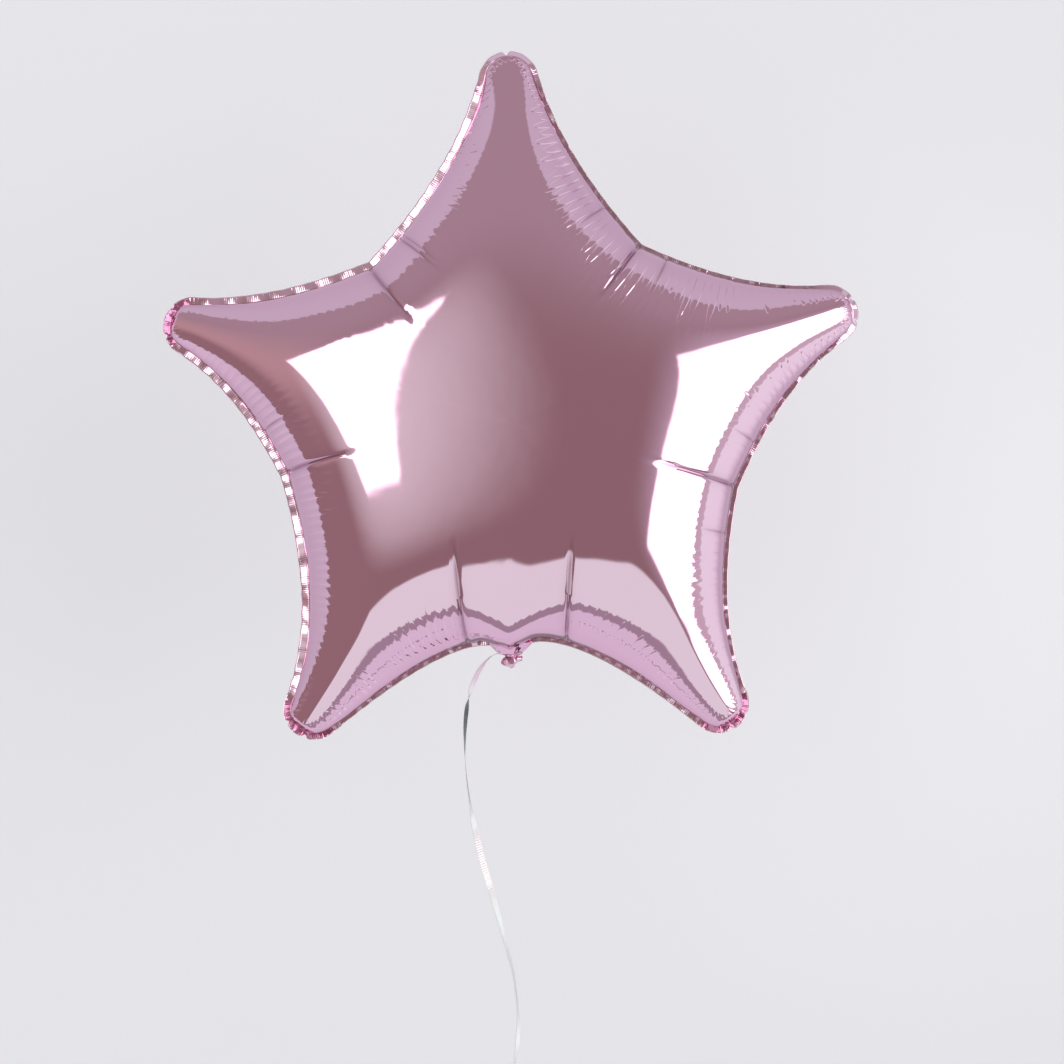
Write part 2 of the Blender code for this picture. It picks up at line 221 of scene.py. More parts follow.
def adder(tree):
    """A function that adds a node to the tree, and sets or links what it is given."""

    def add(kind, **values):
        node = tree.nodes.new(kind)
        for key, value in values.items():
            if isinstance(value, bpy.types.NodeSocket):
                tree.links.new(value, node.inputs[key.replace("_", " ")])
            elif hasattr(node, key):
                setattr(node, key, value)
            else:
                node.inputs[key.replace("_", " ")].default_value = value
        return node

    return add


def calculator(tree):
    """A function that adds a maths node to the tree and gives its output."""

    def calculate(operation, *values):
        node = tree.nodes.new("ShaderNodeMath")
        node.operation = operation
        for socket, value in zip(node.inputs, values):
            if isinstance(value, (int, float)):
                socket.default_value = value
            else:
                tree.links.new(value, socket)
        return node.outputs[0]

    return calculate


def mixed(tree, factor, color, other):
    """A mix between two colours, each a tuple or another node's output."""
    mix = tree.nodes.new("ShaderNodeMix")
    mix.data_type = "RGBA"
    tree.links.new(factor, mix.inputs[0])
    for socket, value in ((mix.inputs[6], color), (mix.inputs[7], other)):
        if isinstance(value, bpy.types.NodeSocket):
            tree.links.new(value, socket)
        else:
            socket.default_value = (*value, 1.0)
    return mix.outputs[2]


def noise(add, vector, scale_and_detail):
    scale, detail = scale_and_detail
    return add("ShaderNodeTexNoise", Scale=scale, Detail=detail, Vector=vector).outputs["Fac"]


def ramp(add, value, source=(0.0, 1.0), result=(0.0, 1.0), kind="LINEAR"):
    """The value carried from the source span to the result span, and held at its ends."""
    return add("ShaderNodeMapRange", interpolation_type=kind, Value=value, From_Min=source[0],
               From_Max=source[1], To_Min=result[0], To_Max=result[1]).outputs["Result"]


def bumped(add, height, strength, distance, **normal):
    bump = add("ShaderNodeBump", Strength=strength, Distance=distance, Height=height, **normal)
    return bump.outputs["Normal"]


def new_material(name):
    """A material, its tree, its shader, the function that adds nodes, and its texture coordinates."""
    made = bpy.data.materials.new(name)
    made.use_nodes = True
    add = adder(made.node_tree)
    return made, made.node_tree, made.node_tree.nodes["Principled BSDF"], add, add("ShaderNodeTexCoord")


def finish_shader(tree, shader, **given):
    for name, value in given.items():
        tree.links.new(value, shader.inputs[name.replace("_", " ")])


def fold_relief(tree, add, place, run, depth):
    """Height of the film's sharp folds, grooves, faint ribs and crinkles, which run in from the seam."""
    calculate = calculator(tree)
    chance = add("ShaderNodeTexWhiteNoise", noise_dimensions="1D", W=calculate("FLOOR", run))
    chance = chance.outputs["Value"]
    vigour = add("ShaderNodeAttribute", attribute_name="vigour").outputs["Fac"]
    across = calculate("MULTIPLY_ADD", calculate("FRACT", run), 2.0, -1.0)
    across = calculate("MULTIPLY", across, across)
    reach = calculate("MULTIPLY_ADD", chance, 1 - LEAST_FOLD_REACH, LEAST_FOLD_REACH)
    gone = calculate("DIVIDE", depth, reach)
    inside = calculate("SUBTRACT", calculate("SUBTRACT", 1.0, calculate("MULTIPLY", gone, gone)), across)
    raised = calculate("POWER", calculate("MAXIMUM", inside, 0.0), FOLD_EDGE_POWER)
    height = calculate("MULTIPLY_ADD", chance, 1 - LEAST_FOLD_HEIGHT, LEAST_FOLD_HEIGHT)
    raised = calculate("MULTIPLY", raised, height)
    raised = calculate("MULTIPLY", raised, calculate("MULTIPLY", vigour, FOLD_EDGE_HEIGHT))
    spot = add("ShaderNodeSeparateXYZ", Vector=place.outputs["Object"]).outputs
    rightwards = calculate("MULTIPLY_ADD", spot["X"], GROOVED_WAY[0],
                           calculate("MULTIPLY", spot["Z"], GROOVED_WAY[1]))
    groove = calculate("DIVIDE", calculate("SUBTRACT", inside, GROOVE_PLACE), GROOVE_WIDTH)
    groove = calculate("EXPONENT", calculate("MULTIPLY", calculate("MULTIPLY", groove, groove), -1.0))
    groove = calculate("MULTIPLY", groove, ramp(add, rightwards, GROOVED_SPAN, (0.0, GROOVE_HEIGHT)))
    raised = calculate("SUBTRACT", raised, groove)
    ribs = calculate("MULTIPLY", calculate("SUBTRACT", 1.0, across), RIB_EDGE_HEIGHT)
    raised = calculate("MULTIPLY_ADD", ribs, ramp(add, depth, (RIB_REACH, 0.5 * RIB_REACH)), raised)
    streaks = add("ShaderNodeCombineXYZ", X=calculate("MULTIPLY", run, CRINKLES_PER_FOLD),
                  Y=calculate("MULTIPLY", depth, CRINKLES_PER_REACH))
    crinkle = noise(add, streaks.outputs["Vector"], (1.0, CRINKLE_DETAIL))
    crinkled = calculate("MULTIPLY", ramp(add, depth, CRINKLE_SPAN, (0.0, CRINKLE_HEIGHT)),
                         calculate("MINIMUM", vigour, 1.0))
    raised = calculate("MULTIPLY_ADD", crinkle, crinkled, raised)
    return calculate("MULTIPLY", raised, ramp(add, depth, RELIEF_SPAN, kind="SMOOTHSTEP"))


def foil_material(name, tint, roughness, crimped):
    """Metallised film: a clear tinted mirror, a little hazy, with sharp folds and crinkles along the seam.

    Its UV map gives the place along the seam in folds and the distance from it over the folds' reach.
    crimped makes the seal's film instead, whose UV map is in metres. The vertex values vigour and
    pinched say how far the folds stand up and how far painted shade darkens the film.
    """
    made, tree, shader, add, place = new_material(name)
    calculate = calculator(tree)
    spot = place.outputs["Object"]
    shader.inputs["Metallic"].default_value = 1.0
    shader.inputs["Specular Tint"].default_value = (*EDGE_TINT, 1.0)
    shade = mixed(tree, noise(add, spot, PATCHES), tint, [c * PATCH_SHADE for c in tint])
    # Painted shade for each vertex: darker in the creases, at the seam, beside the neck and on the seal's
    # right and lower sides.
    painted_shade = add("ShaderNodeAttribute", attribute_name="painted_shade").outputs["Fac"]
    split = add("ShaderNodeSeparateXYZ", Vector=place.outputs["UV"]).outputs
    if crimped:
        raised = calculate("SINE", calculate("MULTIPLY", split["X"], tau / CRIMP_PITCH))
        raised = calculate("MULTIPLY", raised, CRIMP_HEIGHT)
    else:
        raised = fold_relief(tree, add, place, split["X"], split["Y"])
    waves = bumped(add, noise(add, spot, WAVES), WAVE_STRENGTH, WAVE_HEIGHT)
    finish_shader(
        tree, shader,
        Base_Color=mixed(tree, painted_shade, shade, [SHADE_DARKENS * c**SHADE_DEEPENS for c in tint]),
        Roughness=ramp(add, noise(add, spot, HAZE), result=[roughness * share for share in HAZE_SPREAD]),
        Normal=bumped(add, raised, 1.0, 1.0, Normal=waves),
    )
    return made


def ribbon_material():
    """Silvered ribbon: bright on one side, much darker on the other as a painted dark reflection, and pink
    near the knot as a painted reflection of the foil, with fine ribs across it.
    """
    made, tree, shader, add, place = new_material("silver_ribbon")
    calculate = calculator(tree)
    shader.inputs["Metallic"].default_value = 0.9
    wear = noise(add, place.outputs["Object"], WEAR)
    split = add("ShaderNodeSeparateXYZ", Vector=place.outputs["UV"]).outputs
    # painted reflection of the pink foil near the knot
    pink_reflected = mixed(tree, ramp(add, split["X"], PINK_REFLECTION_SPAN), mixed(tree, wear, *BRIGHT_SIDE), PINK_REFLECTION)
    # the other side gets the painted dark reflection
    reverse = calculate("GREATER_THAN", split["Y"], PAINTED_DARK_SIDE_FROM)
    rib = calculate("SINE", calculate("MULTIPLY", split["X"], tau / FINE_RIB_PITCH))
    finish_shader(
        tree, shader,
        Base_Color=mixed(tree, reverse, pink_reflected, mixed(tree, wear, *PAINTED_DARK_SIDE)),
        Roughness=ramp(add, wear, result=WEAR_ROUGHNESS),
        Normal=bumped(add, rib, FINE_RIB_STRENGTH, FINE_RIB_HEIGHT),
    )
    return made


def plain_film_material(name, color, roughness):
    """Clear or tinted unmetallised film, faintly streaked."""
    made, tree, shader, add, place = new_material(name)
    streak = noise(add, place.outputs["Object"], STREAKS)
    finish_shader(
        tree, shader,
        Base_Color=mixed(tree, streak, color, [c * STREAK_SHADE for c in color]),
        Roughness=ramp(add, streak, result=[roughness * share for share in STREAK_SPREAD]),
        Normal=bumped(add, streak, STREAK_STRENGTH, STREAK_HEIGHT),
    )
    return made


# ---- outline and dome


def cap_middle(tip):
    return np.array(tip) - unit(np.array(tip) - CENTRE) * TIP_RADIUS


def half_arm(tip, sign, notch, bow):
    """Evenly spaced points from an arm's apex round its cap and down one side to the notch."""
    middle, notch = cap_middle(tip), np.array(notch)
    outwards = np.array(tip) - CENTRE
    apex = atan2(outwards[1], outwards[0])
    angles = apex + sign * np.linspace(0, TIP_TURN, 60)
    cap = middle + TIP_RADIUS * np.column_stack((np.cos(angles), np.sin(angles)))
    start = cap[-1]
    along = sign * np.array((-sin(angles[-1]), cos(angles[-1])))
    handle = start + along * bow * np.linalg.norm(notch - start)
    t = np.linspace(0, 1, 400)[1:, None]
    side = (1 - t) ** 2 * start + 2 * t * (1 - t) * handle + t * t * notch
    points = np.vstack((cap, side))
    gone = lengths_along(points)
    wanted = np.linspace(0, gone[-1], HALF_COLUMNS + 1)
    return np.column_stack([np.interp(wanted, gone, points[:, k]) for k in (0, 1)])


def ring_smoothed(ring, spread):
    reach = np.arange(-3 * spread, 3 * spread + 1)
    weight = np.exp(-((reach / spread) ** 2) / 2)
    weight /= weight.sum()
    return sum(w * np.roll(ring, k, axis=0) for k, w in zip(reach, weight))


def star_rim():
    """The rim of the seal, one point for each column, anticlockwise from the notch before the first tip."""
    points = []
    for i, tip in enumerate(TIPS):
        for sign, at in ((-1, (i - 1) % len(NOTCHES)), (1, i)):
            half = half_arm(tip, sign, NOTCHES[at], NECK_SIDE_BOW if at == NECK_NOTCH else SIDE_BOW)
            points.append(half[:0:-1] if sign < 0 else half[:-1])
    return ring_smoothed(np.vstack(points), CORNER_SPREAD)


def inward_normals(outline):
    tangent = np.roll(outline, -1, axis=0) - np.roll(outline, 1, axis=0)
    return unit(np.column_stack((-tangent[:, 1], tangent[:, 0])))


def dome_height(seam):
    """The height of the inflated film over (x, z) points inside the seam, as in the CAD model."""
    seam = seam[::FIELD_STRIDE]
    sources = seam - inward_normals(seam) * FIELD_OFFSET

    def terms(points):
        apart = np.linalg.norm(points[:, None, :] - sources[None, :, :], axis=2)
        return np.column_stack((np.log(apart), np.ones(len(points))))

    def load(points):
        return -((points - CENTRE) ** 2).sum(axis=1) / 2

    weights = np.linalg.lstsq(terms(seam), -load(seam), rcond=1e-9)[0]

    def height(points):
        raised = np.concatenate([load(part) + terms(part) @ weights
                                 for part in np.array_split(points, len(points) // 4000 + 1)])
        raised = np.sqrt(np.maximum(raised, 0))
        return raised / (1 + (raised / FULLEST) ** FULLNESS) ** (1 / FULLNESS)

    return height


# ---- seam, puckers and creases

RIM = star_rim()
INWARD = inward_normals(RIM)
COLUMN = np.arange(COLUMNS)
ARM = COLUMN // (2 * HALF_COLUMNS)
FROM_APEX = np.abs(COLUMN % (2 * HALF_COLUMNS) - HALF_COLUMNS) / HALF_COLUMNS  # 0 at a tip, 1 at a notch
AROUND = lengths_along(RIM)  # each column's place along the rim
PERIMETER = AROUND[-1] + np.linalg.norm(RIM[0] - RIM[-1])
CAP_SHARE = 0.17  # share of a half arm's columns on its tip
AT_TIP = 1 - ease((FROM_APEX - 0.5 * CAP_SHARE) / CAP_SHARE)


def fold_edges(seed, low, high):
    """Places round the rim, in metres, between which the folds lie."""
    rng = np.random.default_rng(seed)
    count = round(PERIMETER / ((low + high) / 2))
    widths = rng.uniform(low, high, count)
    return np.concatenate(([0], np.cumsum(widths))) * PERIMETER / widths.sum()


def folds(edges, around, depth, seed, reach, height, power):
    """Rounded ridges with sharp valleys between them, that run in from the seam and end in a point.

    They lie between the given edges. around is the place along the seam, depth the distance from it,
    and the pairs are the least and greatest reach and height of a fold.
    """
    rng = np.random.default_rng(seed)
    count = len(edges) - 1
    tall = rng.uniform(*height, count)
    long = rng.uniform(*reach, count)
    fold = np.clip(np.searchsorted(edges, around, side="right") - 1, 0, count - 1)
    across = 2 * (around - edges[fold]) / (edges[fold + 1] - edges[fold]) - 1
    room = np.maximum(1 - (depth / long[fold]) ** 2 - across**2, 0)
    return tall[fold] * room**power


def slow_wave(around, seed, longest, terms=6):
    """A smooth random wave round the rim, about -1 to 1, whose longest part is about as long as given."""
    rng = np.random.default_rng(seed)
    lowest = max(1, round(PERIMETER / longest))
    wave = 0
    for k in range(terms):
        share, phase = rng.uniform(0.4, 1), rng.uniform(0, tau)
        wave = wave + share * np.sin(tau * (lowest + k) * around / PERIMETER + phase)
    return wave / (0.55 * terms)


# Creases that run in from the seam, as (notch, place along the rim from it, reach, depth, half width)
CREASES = (
    (2, -0.0272, 0.072, 0.0020, 0.0007), (2, 0.0376, 0.074, 0.0020, 0.0007),
    (0, 0.0010, 0.056, 0.0020, 0.0008), (0, -0.0230, 0.044, 0.0009, 0.0007),
    (0, -0.0265, 0.040, 0.0006, 0.0007),
    (1, 0.0, 0.056, 0.0020, 0.0008), (1, -0.0300, 0.026, 0.0008, 0.0007),
    (3, 0.0, 0.066, 0.0020, 0.0008), (3, 0.0300, 0.022, 0.0007, 0.0007), (3, -0.0300, 0.024, 0.0007, 0.0007),
    (4, 0.0, 0.052, 0.0020, 0.0008), (4, -0.0190, 0.032, 0.0009, 0.0007), (4, 0.0330, 0.030, 0.0009, 0.0007),
)
PINCH_SHADE = 0.85  # how far painted shade darkens the film inside a crease
CREASES_FRONT_ONLY = 2  # the first few bound the neck's panel and are only at the front
SHOULDER = 7.0  # half widths from a crease over which the film beside it is drawn down a little


def notch_place(notch):
    """The place along the rim of a notch."""
    return AROUND[(notch + 1) * 2 * HALF_COLUMNS % COLUMNS]


def tip_place(arm):
    """The place along the rim of an arm's apex."""
    return AROUND[arm * 2 * HALF_COLUMNS + HALF_COLUMNS]


def crease_depth(rows, creases):
    """How deep the creases draw the film in at each point. Each follows one column of the mesh."""
    drawn = [np.zeros(len(c)) for c, _, _ in rows]
    for notch, place, reach, deep, half_width in creases:
        at = (notch_place(notch) + place) % PERIMETER
        column = 4 * round(np.interp(at, AROUND, COLUMN) / 4)
        for k, (c, points, gone) in enumerate(rows):
            here = np.searchsorted(c, column)
            along = gone[here] / reach
            if along >= 1:
                break
            off = np.linalg.norm(points - points[here], axis=1) / half_width
            valley = np.exp(-off) + 0.07 * np.exp(-((off / SHOULDER) ** 2))
            drawn[k] += deep * (1 - ease((along - 0.35) / 0.65)) * valley
    return np.concatenate(drawn)


# ---- seal


LEFT_BEND = radians(12)
RIGHT_BEND = radians(5)
NARROW = 0.56  # share of the seal's width that shows on the right and below
TIP_BENDS = np.radians((44, -20, -16, -16, 38))
TIP_CURLS = np.radians((0, -20, -18, -18, 0))
SMOOTH_TIPS = np.array((1.0, 0.85, 0.8, 0.8, 1.0))  # how smooth each tip's seal lies
TWIST_BEND = radians(17)  # how far the seal's bend wanders
SEAL_ROWS = 7
SEAL_WAVE, SEAL_RIPPLE, SEAL_RAGGED = 0.0006, 0.0003, 0.0003
TIP_FOLD_WIDTHS, TIP_FOLD_HEIGHTS = (0.0024, 0.0042), (0.0002, 0.0008)
TIP_FOLD_MIDDLE = 0.0004
SEAL_SHADE = 0.35  # painted shade: how far the seal's film darkens on the right and below


def seal_rightness():
    """1 on the star's right-hand and lower sides, 0 on its left-hand sides."""
    lean = -INWARD @ np.array((0.95, -0.30)) + 2.5 * RIM[:, 0]
    return ease((lean + 0.30) / 0.40)


def seal_profile():
    """The seal's run from the seam outwards for each column: (outwards, backwards), one row a step.

    The seal leans a little back and twists on the star's left-hand sides, and lies flatter and narrower
    on the right and below. It bends back round the top and right-hand tips and curls forwards round
    the others.
    """
    rightness = seal_rightness()
    twist = slow_wave(AROUND, 31, 0.075, 12)
    bend = LEFT_BEND + (RIGHT_BEND - LEFT_BEND) * rightness + TWIST_BEND * twist * (1 - 0.6 * rightness)
    bend = bend * (1 - AT_TIP) + TIP_BENDS[ARM] * AT_TIP
    curl = TIP_CURLS[ARM] * AT_TIP
    wide = SEAL_WIDTH * (1 - (1 - NARROW) * rightness * (1 - AT_TIP))
    steps = np.linspace(0, 1, SEAL_ROWS)
    out, back = [np.zeros(COLUMNS)], [np.zeros(COLUMNS)]
    for a, b in zip(steps, steps[1:]):
        angle = bend + curl * (a + b) / 2
        out.append(out[-1] + wide * (b - a) * np.cos(angle))
        back.append(back[-1] + wide * (b - a) * np.sin(angle))
    return np.array(out), np.array(back)


SEAL_OUT, SEAL_BACK = seal_profile()
FROM_NECK = AROUND - notch_place(NECK_NOTCH)
NECK_HALF, NECK_BLEND = 0.010, 0.008  # along the rim, from the neck's middle
AT_NECK = 1 - ease((np.abs(FROM_NECK) - NECK_HALF) / NECK_BLEND)
SEAL_OUT, SEAL_BACK = SEAL_OUT * (1 - 0.97 * AT_NECK), SEAL_BACK * (1 - 0.97 * AT_NECK)  # closed at the neck
VISIBLE_WIDTH = ring_smoothed(SEAL_OUT.max(axis=0), 6)
SEAM = RIM + INWARD * VISIBLE_WIDTH[:, None]
SEAM_WAVE = 0.0005 * slow_wave(AROUND, 32, 0.016, 9) + 0.0003 * slow_wave(AROUND, 33, 0.008, 12)
# Clefts in the seal at the tips, as (arm, place along the rim from its apex, depth, half width)
CLEFTS = (
    (0, 0.0015, 0.0034, 0.0018), (1, -0.0090, 0.0016, 0.0012), (1, 0.0120, 0.0018, 0.0014),
    (2, 0.0060, 0.0024, 0.0016), (2, -0.0100, 0.0016, 0.0012), (3, -0.0040, 0.0024, 0.0016),
    (3, 0.0110, 0.0014, 0.0010), (4, 0.0050, 0.0018, 0.0014), (4, -0.0110, 0.0014, 0.0012),
)


def cleft_depth():
    deep = np.zeros(COLUMNS)
    for arm, place, depth, half_width in CLEFTS:
        deep += depth * np.exp(-(((AROUND - tip_place(arm) - place) / half_width) ** 2))
    return deep


def add_seal(surface):
    """The heat-sealed border outside the seam: both films pressed together, crimped and wavy."""
    share = np.linspace(0, 1, SEAL_ROWS)[:, None]
    wave = SEAL_WAVE * slow_wave(AROUND, 41, 0.020, 10) + SEAL_RIPPLE * slow_wave(AROUND, 42, 0.009, 14)
    wave = wave * share
    edges = fold_edges(43, *TIP_FOLD_WIDTHS)
    tip_folds = folds(edges, AROUND, 0 * AROUND, 43, (1, 2), TIP_FOLD_HEIGHTS, 0.8)
    creased = (0.12 + 0.88 * AT_TIP) * (1 - 0.9 * SMOOTH_TIPS[ARM] * AT_TIP)
    wave = wave + (tip_folds - TIP_FOLD_MIDDLE) * creased * share
    out = SEAL_OUT - cleft_depth() * share**1.5 + SEAL_RAGGED * slow_wave(AROUND, 44, 0.012, 12) * share
    back = SEAL_BACK + wave + SEAM_WAVE * (1 - share)
    flat = SEAM[None] - INWARD[None] * out[:, :, None]
    middle = np.stack((flat[:, :, 0], back, flat[:, :, 1]), axis=2)
    along = np.roll(middle, -1, axis=1) - np.roll(middle, 1, axis=1)
    across = np.gradient(middle, axis=0)
    normal = unit(np.cross(across, along))
    front, rear = middle + normal * FILM_LEVEL, middle - normal * FILM_LEVEL
    rows = np.concatenate((front, rear[::-1]))
    faces = loop_faces(len(rows), COLUMNS, joined=True)
    seal = faces_out(mesh_object("rim_seal", rows.reshape(-1, 3), faces, surface))
    place = np.tile(AROUND, len(rows))
    depth = np.repeat(np.concatenate((share[:, 0], share[::-1, 0])) * SEAL_WIDTH, COLUMNS)
    give_uv(seal, np.column_stack((place, depth)), PERIMETER)
    # Painted shade: the seal's film is darker on the right and below, except at the tips.
    give_values(seal, "painted_shade", np.tile(SEAL_SHADE * seal_rightness() * (1 - AT_TIP), len(rows)))
    return seal


# ---- film


NECK_PANEL = (-0.0272, 0.0376)  # from the neck along the seam to the creases that bound its panel
NECK_LEAN = radians(14)  # turns the columns at the panel's right-hand crease upright
UPRIGHT_SWEEP = 0.6  # and moves their inner ends towards the middle
UPRIGHT_AT, UPRIGHT_REACH = 0.81, 0.30  # in shares of the half arm
LEAN_REACH = 0.035
LONGEST_HANDLE = 0.45  # as a share of the column


def film_rows():
    """Each row of the film's mesh as (columns, x and z of its points, their distance from the seam)."""
    middles = np.array([cap_middle(tip) for tip in TIPS])[ARM]
    upright = (ARM == 3) * ease(1 - np.abs(FROM_APEX - UPRIGHT_AT) / UPRIGHT_REACH)
    inner = middles + (CENTRE - middles) * (FROM_APEX ** (COLUMN_SWEEP - UPRIGHT_SWEEP * upright))[:, None]
    span = np.linalg.norm(inner - SEAM, axis=1)
    square = unit(ring_smoothed(INWARD, HANDLE_SPREAD))
    turn = NECK_LEAN * ease(1 - np.abs(FROM_NECK - NECK_PANEL[1]) / LEAN_REACH)
    square = np.column_stack((square[:, 0] * np.cos(turn) - square[:, 1] * np.sin(turn),
                              square[:, 0] * np.sin(turn) + square[:, 1] * np.cos(turn)))
    handle = SEAM + square * np.minimum(SQUARE_REACH, LONGEST_HANDLE * span)[:, None]
    rows = []
    for k in range(ROWS):
        stride = 4 if k >= QUARTER_FROM else 2 if k >= HALF_FROM else 1
        c = COLUMN[::stride]
        s = (k / ROWS) ** ROW_CROWDING
        points = (1 - s) ** 2 * SEAM[c] + 2 * s * (1 - s) * handle[c] + s * s * inner[c]
        rows.append((c, points, np.linalg.norm(points - SEAM[c], axis=1)))
    return rows, inner, span


def film_faces(rows):
    """Faces between the rows, five-cornered where the column count halves, and along the middle lines."""
    starts = np.concatenate(([0], np.cumsum([len(c) for c, _, _ in rows])))
    faces = []
    for k in range(len(rows) - 1):
        outer, inner = len(rows[k][0]), len(rows[k + 1][0])
        a, b = starts[k], starts[k + 1]
        i = np.arange(inner)
        j = (i + 1) % inner
        if outer == inner:
            edge = (a + i, a + j)
        else:
            edge = (a + 2 * i, a + 2 * i + 1, a + (2 * i + 2) % outer)
        faces += np.column_stack((*edge, b + j, b + i)).tolist()
    count = len(rows[-1][0])
    half = count // (2 * len(TIPS))
    centre = starts[-1]

    def inner_point(i):
        arm, place = divmod(i % count, 2 * half)
        step = abs(place - half)
        return centre if step == half else centre + 1 + arm * half + step

    for i in range(count):
        face = [starts[-2] + i, starts[-2] + (i + 1) % count, inner_point(i + 1), inner_point(i)]
        faces.append([int(v) for v in face])
    return faces


FOLD_REACH = 0.046  # reach of the longest sharp folds
FOLD_WIDTHS, WIDE_FOLD_WIDTHS = (0.0042, 0.0064), (0.009, 0.017)
# Each set of folds, as (least and greatest reach, least and greatest height, how squarely they stand up)
FINE_FOLDS = ((0.024, 0.042), (0.00010, 0.00028), 0.8)
FAINT_FOLDS = ((0.046, 0.070), (0.00003, 0.00008), 0.9)
COARSE_FOLDS = ((0.022, 0.042), (0.00012, 0.00045), 1.0)
FULL_SPAN = 0.060  # columns shorter than this have shorter and lower folds
PANEL_CALM = 0.95  # how far the folds are missing from the neck's panel
SEAM_SHADE, SEAM_SHADE_REACH = 0.35, 0.0012  # painted shade: the film darkens a little right at the seam
NECK_SHADE, NECK_SHADE_REACH = 0.92, 0.0034  # and more painted shade, in jagged teeth, beside the neck
TIP_FULLER, TIP_FULLER_REACH = (0.0, 0.005, 0.005, 0.005, 0.005), 0.070
# The folds' reach over the longest, and how far they stand up: at each notch and at the tip after it
FOLD_REACHES = ((0.80, 0.6), (0.60, 0.7), (0.95, 0.7), (0.55, 0.6), (1.0, 0.45))
FOLD_VIGOUR = ((0.7, 0.5), (0.6, 0.8), (1.8, 0.9), (0.6, 0.8), (1.6, 0.12))
NECK_FULLER, NECK_FULLER_REACH = 0.0125, 0.062
NECK_ROUND = 0.16
TOP_FLATTER, TOP_FLATTER_REACH = 0.82, 0.018
# Stretches where the film rises later from the seam: (notch, place along the rim from it, half length, by)
SLACK = ((4, 0.055, 0.070, 0.0060), (4, -0.050, 0.050, 0.0020), (0, 0.0, 0.045, 0.0020))
SLACK_REACH = 0.045
TIP_RISE, NECK_RISE, SLACK_RISE = 0.004, 0.008, 0.012  # depths over which each of these comes in
PANEL_EDGE = 0.006
PUCKER_RISE, CREASE_RISE, SEAM_WAVE_FADE = 0.0016, 0.0020, 0.006
DEEP_CREASE = 0.0010  # crease depth at which the film has darkened fully with painted shade
NECK_SHADE_FROM, NECK_SHADE_TO = (0.011, 0.017), (0.050, 0.030)  # along the rim, from the neck's middle


def by_place(values):
    """One value for each column, that passes evenly between (at the notch, at the tip after it) pairs."""
    places = [notch_place(notch) for notch in range(-1, len(NOTCHES) - 1)]
    tips = [tip_place(arm) for arm in range(len(TIPS))]
    given = [values[notch] for notch in range(-1, len(NOTCHES) - 1)]
    along = np.ravel(np.column_stack((places, tips)))
    return np.interp(AROUND, along, np.ravel(given), period=PERIMETER)


def in_neck_panel():
    """1 for the columns of the smooth panel above the neck, 0 for the others."""
    return ease((FROM_NECK - NECK_PANEL[0]) / PANEL_EDGE) * ease((NECK_PANEL[1] - FROM_NECK) / PANEL_EDGE)


def height_places(flat, columns, depth, span):
    """Where in the plane the film's height is taken from: it stands fuller at the tips and the neck."""
    places = flat.copy()
    for i, tip in enumerate(TIPS):
        axis = unit(CENTRE - np.array(tip))
        along = (flat - np.array(tip)) @ axis - SEAL_WIDTH
        shift = TIP_FULLER[i] * ease(along / TIP_RISE) * (1 - ease(along / TIP_FULLER_REACH))
        places += axis * (shift * (ARM[columns] == i))[:, None]
    share = np.where(FROM_NECK < 0, FROM_NECK / NECK_PANEL[0], FROM_NECK / NECK_PANEL[1])
    tent = np.maximum(1 + NECK_ROUND - np.hypot(share, NECK_ROUND), 0)[columns]
    places[:, 1] += NECK_FULLER * tent * ease(depth / NECK_RISE) * (1 - ease(depth / NECK_FULLER_REACH))
    slack = np.zeros(COLUMNS)
    for notch, place, half, by in SLACK:
        off = (AROUND - notch_place(notch) - place + PERIMETER / 2) % PERIMETER - PERIMETER / 2
        slack += by * ease(1 - np.abs(off) / half)
    fade = ease(depth / SLACK_RISE) * (1 - ease(depth / np.minimum(SLACK_REACH, 0.85 * span[columns])))
    return places - INWARD[columns] * (slack[columns] * fade)[:, None]


